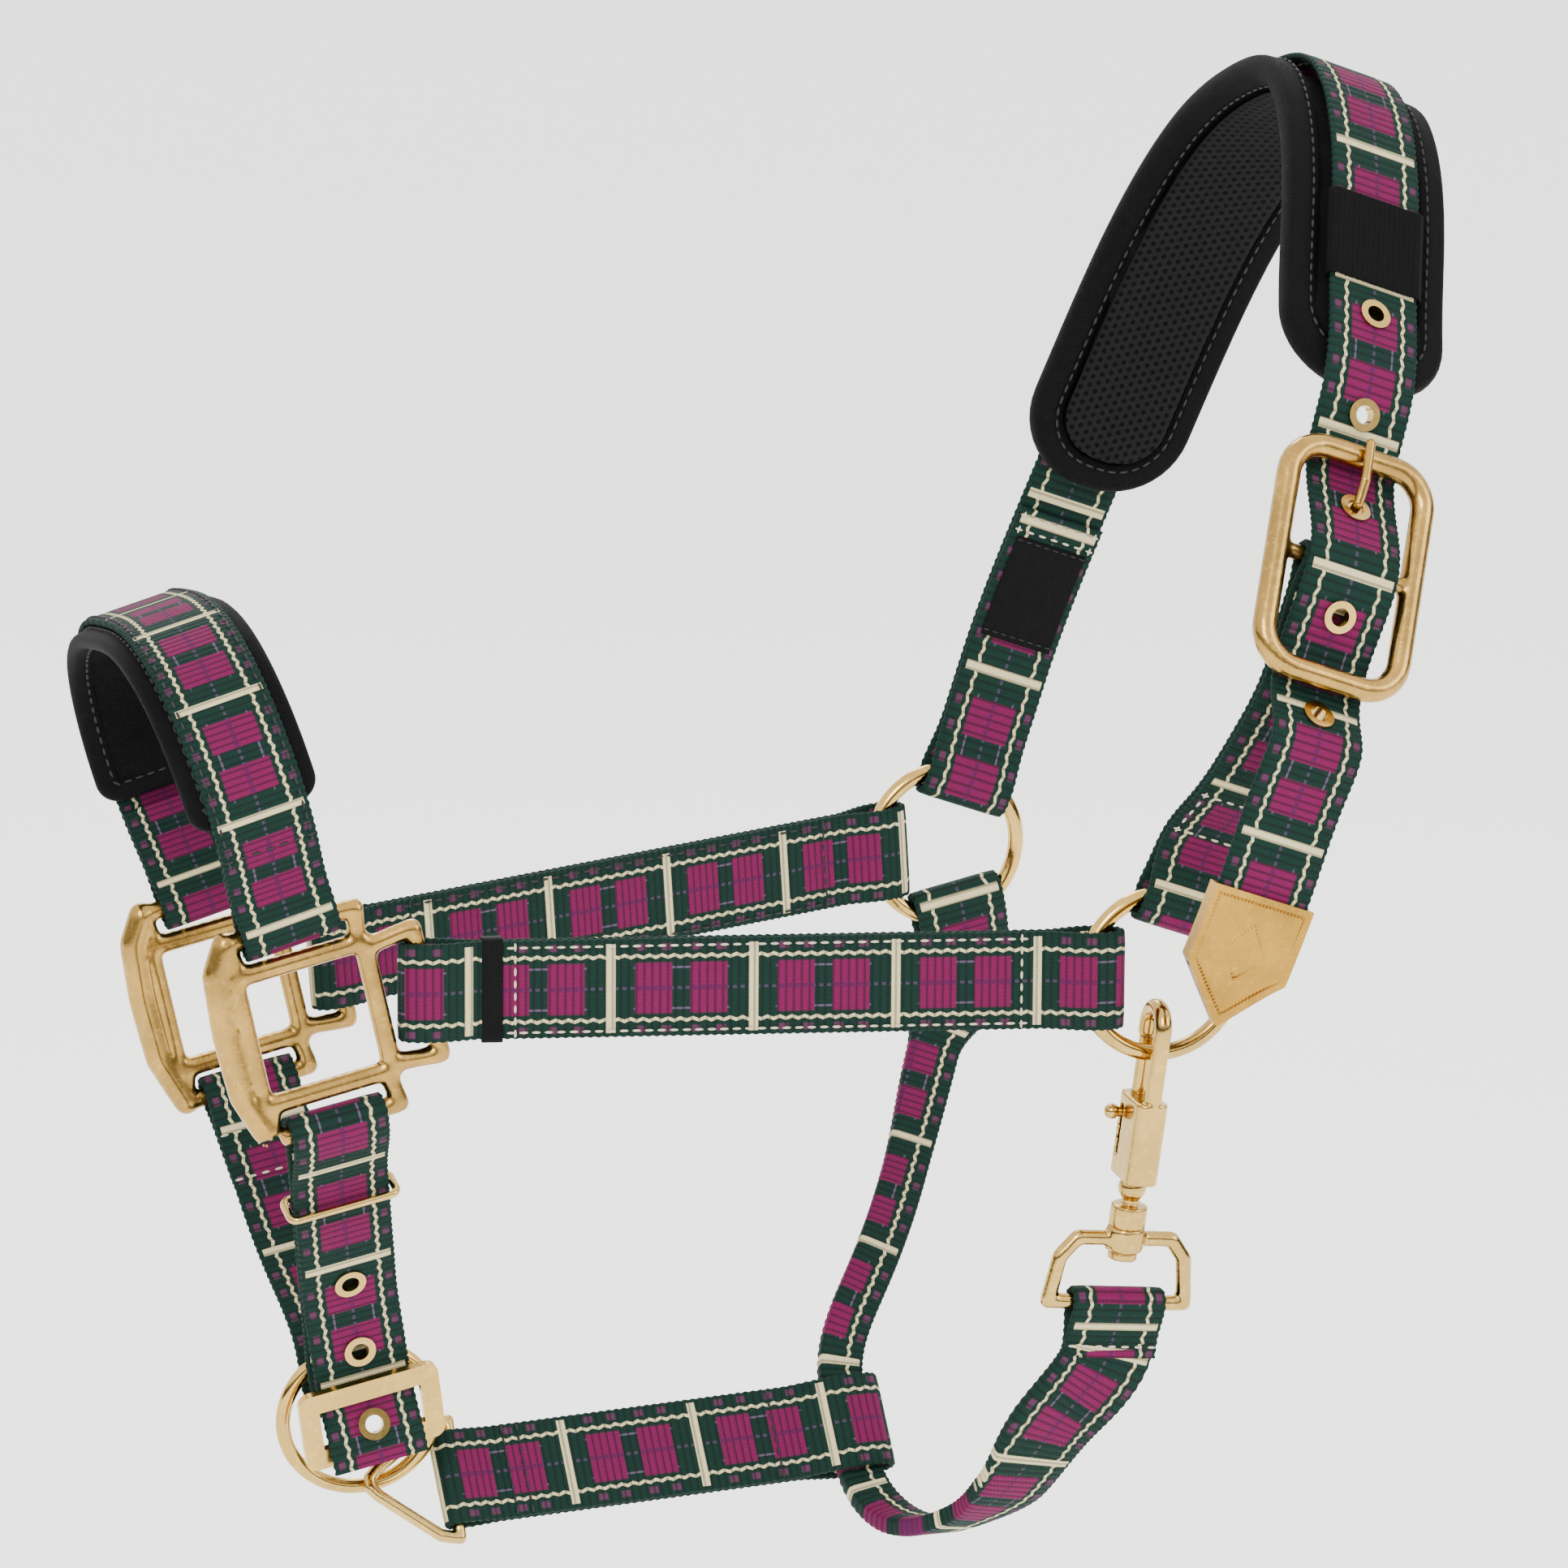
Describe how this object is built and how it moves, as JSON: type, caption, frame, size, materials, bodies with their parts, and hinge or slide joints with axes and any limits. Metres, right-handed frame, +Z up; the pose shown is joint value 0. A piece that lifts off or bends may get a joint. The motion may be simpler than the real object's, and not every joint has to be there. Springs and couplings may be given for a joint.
{
  "type": "padded webbing headcollar",
  "caption": "Padded woven-webbing headcollar with brass rings, halter squares, crown buckle, chin slide and a throat snap hook.",
  "frame": {"origin": "centre of the poll pad's inner face, where the headcollar hangs over the poll", "axes": "+Z up, -X toward the nose, +Y toward the far (off) side of the horse"},
  "size_m": [0.3404, 0.2098, 0.3666],
  "materials": {
    "webbing": "tartan woven nylon webbing",
    "eyelet_brass": "plated brass eyelets",
    "pad_cloth": "black brushed binding and cover",
    "pad_mesh": "black perforated mesh",
    "elastic": "black ribbed elastic",
    "label_cloth": "black woven tape",
    "nose_lining": "black padded lining with a stitched edge",
    "tip_brass": "satin folded brass sheet",
    "cast_brass": "satin cast brass",
    "ring_brass": "polished brass wire",
    "wire_brass": "polished brass wire",
    "slide_brass": "pale polished brass plate",
    "snap_brass": "polished brass plate",
    "spring_steel": "spring wire"
  },
  "bodies": {
    "crown": {"crown_strap": "webbing", "crown_eyelets": "eyelet_brass", "poll_pad": "pad_cloth", "pad_lining": "pad_mesh", "pad_keeper": "elastic", "sewn_label": "label_cloth", "billet": "webbing"},
    "tail": {"crown_tail": "webbing", "crown_tail_eyelet": "eyelet_brass", "strap_tip": "tip_brass"},
    "near_ring": {"near_ring": "ring_brass"},
    "far_ring": {"far_ring": "ring_brass"},
    "buckle": {"buckle_frame": "cast_brass"},
    "tongue": {"buckle_tongue": "cast_brass"},
    "cheeks": {"near_square": "cast_brass", "far_square": "cast_brass", "near_cheek": "webbing", "far_cheek": "webbing", "cheek_tape": "label_cloth", "noseband_web": "webbing", "noseband_pad": "nose_lining", "chin_strap": "webbing", "chin_eyelets": "eyelet_brass", "chin_slide": "slide_brass", "jaw_strap": "webbing", "throat_strap": "webbing", "snap_dee": "snap_brass"},
    "keeper": {"wire_keeper": "wire_brass"},
    "lead_ring": {"lead_ring": "ring_brass"},
    "link": {"jaw_link": "wire_brass"},
    "snap": {"snap_hook": "snap_brass"},
    "bolt": {"snap_bolt": "snap_brass", "bolt_spring": "spring_steel"}
  },
  "joints": [
    {"name": "nose_drop", "type": "hinge", "parent": "crown", "child": "cheeks", "pos_m": [-0.07209, 0.00407, -0.19808], "axis": [0, -1, 0], "range_deg": [-8, 40]},
    {"name": "near_ring_spin", "type": "hinge", "parent": "crown", "child": "near_ring", "pos_m": [-0.07209, -0.07593, -0.19808], "axis": [0, 1, 0], "continuous": true},
    {"name": "far_ring_spin", "type": "hinge", "parent": "crown", "child": "far_ring", "pos_m": [-0.07209, 0.08407, -0.19808], "axis": [0, 1, 0], "continuous": true},
    {"name": "buckle_rock", "type": "hinge", "parent": "crown", "child": "buckle", "pos_m": [-0.03516, -0.09893, -0.09659], "axis": [0.9397, 0, -0.342], "range_deg": [-2, 2]},
    {"name": "tongue_lift", "type": "hinge", "parent": "buckle", "child": "tongue", "pos_m": [-0.03516, -0.09893, -0.09659], "axis": [0.9397, 0, -0.342], "range_deg": [0, 3]},
    {"name": "tail_flap", "type": "hinge", "parent": "crown", "child": "tail", "pos_m": [-0.0461, -0.10895, -0.12667], "axis": [-0.9397, 0, 0.342], "range_deg": [0, 15]},
    {"name": "keeper_slide", "type": "slide", "parent": "cheeks", "child": "keeper", "axis": [0.1745, 0.455, -0.8732], "range_m": [-0.002, 0.022]},
    {"name": "lead_ring_spin", "type": "hinge", "parent": "cheeks", "child": "lead_ring", "pos_m": [-0.25272, 0.00407, -0.31524], "axis": [-0.0698, -0.9824, -0.1732], "continuous": true},
    {"name": "link_rock", "type": "hinge", "parent": "cheeks", "child": "link", "pos_m": [-0.22909, 0.00207, -0.33308], "axis": [-0.0424, 0.5296, 0.8472], "range_deg": [-2, 4]},
    {"name": "snap_swivel", "type": "hinge", "parent": "cheeks", "child": "snap", "pos_m": [-0.07419, -0.07593, -0.21783], "axis": [0.105, -0.09, 0.9904], "range_deg": [-12, 12]},
    {"name": "bolt_pull", "type": "slide", "parent": "snap", "child": "bolt", "axis": [-0.105, 0.09, -0.9904], "range_m": [0, 0.007], "stiffness_N_per_m": 250, "springref_m": -0.002, "deforming": ["bolt_spring"]}
  ]
}
